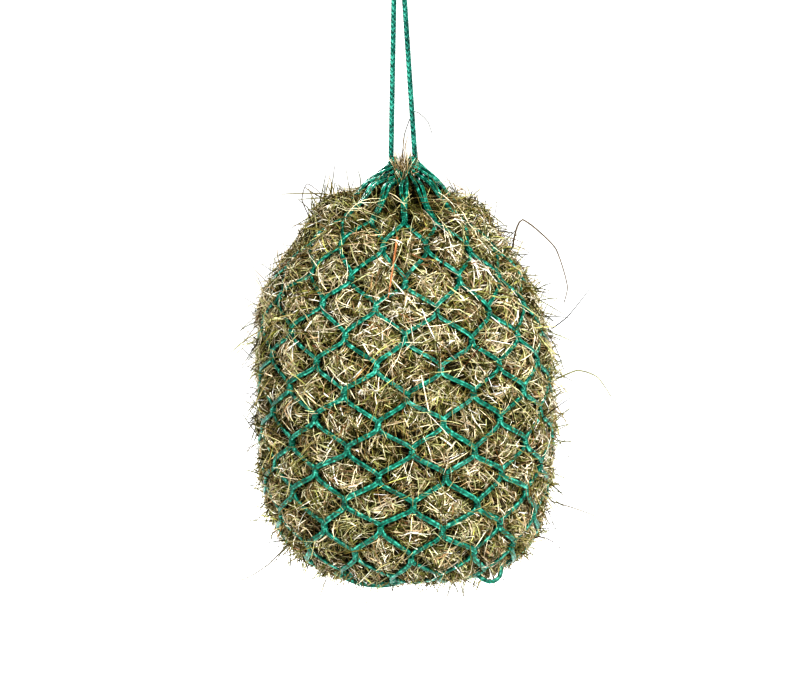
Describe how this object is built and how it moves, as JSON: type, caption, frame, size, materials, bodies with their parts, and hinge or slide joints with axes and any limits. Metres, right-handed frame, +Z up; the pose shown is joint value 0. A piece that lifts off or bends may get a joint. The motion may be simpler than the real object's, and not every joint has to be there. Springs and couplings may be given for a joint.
{
  "type": "hay net",
  "caption": "Knotted diamond-mesh hay net full of hay, gathered at the mouth on a braided drawcord that is knotted into a hanging loop.",
  "frame": {"origin": "where a hook bears on the inside top of the hanging loop", "axes": "+Z up, -Y towards the viewer, +X to the viewer's right"},
  "size_m": [0.5362, 0.4756, 0.9392],
  "materials": {
    "drawcord": "satin",
    "net_twine": "satin",
    "hay": "matte",
    "stalk": "matte"
  },
  "bodies": {
    "hanger": {"hanging_loop": "drawcord"},
    "knot": {"hanging_knot": "drawcord", "cord_end_left": "drawcord", "cord_end_right": "drawcord"},
    "strands": {"draw_cord_left_strand": "drawcord", "draw_cord_right_strand": "drawcord"},
    "bag": {"base_gather_cord": "net_twine", "base_knot": "net_twine", "base_loops": "net_twine", "draw_cord_mouth": "drawcord", "hay_armful_bottom": "hay", "hay_armful_lower": "hay", "hay_armful_top": "hay", "hay_armful_upper": "hay", "loose_stalks": "stalk", "mouth_loops": "net_twine", "net_course_01": "net_twine", "net_course_02": "net_twine", "net_course_03": "net_twine", "net_course_04": "net_twine", "net_course_05": "net_twine", "net_course_06": "net_twine", "net_course_07": "net_twine", "net_course_08": "net_twine", "net_course_09": "net_twine", "net_course_10": "net_twine", "net_course_11": "net_twine", "net_course_12": "net_twine", "net_course_13": "net_twine", "net_course_14": "net_twine", "net_knots_01": "net_twine", "net_knots_02": "net_twine", "net_knots_03": "net_twine", "net_knots_04": "net_twine", "net_knots_05": "net_twine", "net_knots_06": "net_twine", "net_knots_07": "net_twine", "net_knots_08": "net_twine", "net_knots_09": "net_twine", "net_knots_10": "net_twine", "net_knots_11": "net_twine", "net_knots_12": "net_twine", "net_knots_13": "net_twine", "net_knots_14": "net_twine", "net_knots_15": "net_twine"}
  },
  "joints": [
    {"name": "swing_side", "type": "hinge", "parent": "hanger", "child": "knot", "pos_m": [0, 0, -0.062], "axis": [0, 1, 0], "range_deg": [-35, 35]},
    {"name": "swing_fore_aft", "type": "hinge", "parent": "knot", "child": "strands", "pos_m": [0, 0, -0.062], "axis": [1, 0, 0], "range_deg": [-35, 35]},
    {"name": "bag_twist", "type": "hinge", "parent": "strands", "child": "bag", "pos_m": [0, 0, -0.34], "axis": [0, 0, 1], "range_deg": [-90, 90], "stiffness_Nm_per_rad": 0.02}
  ]
}
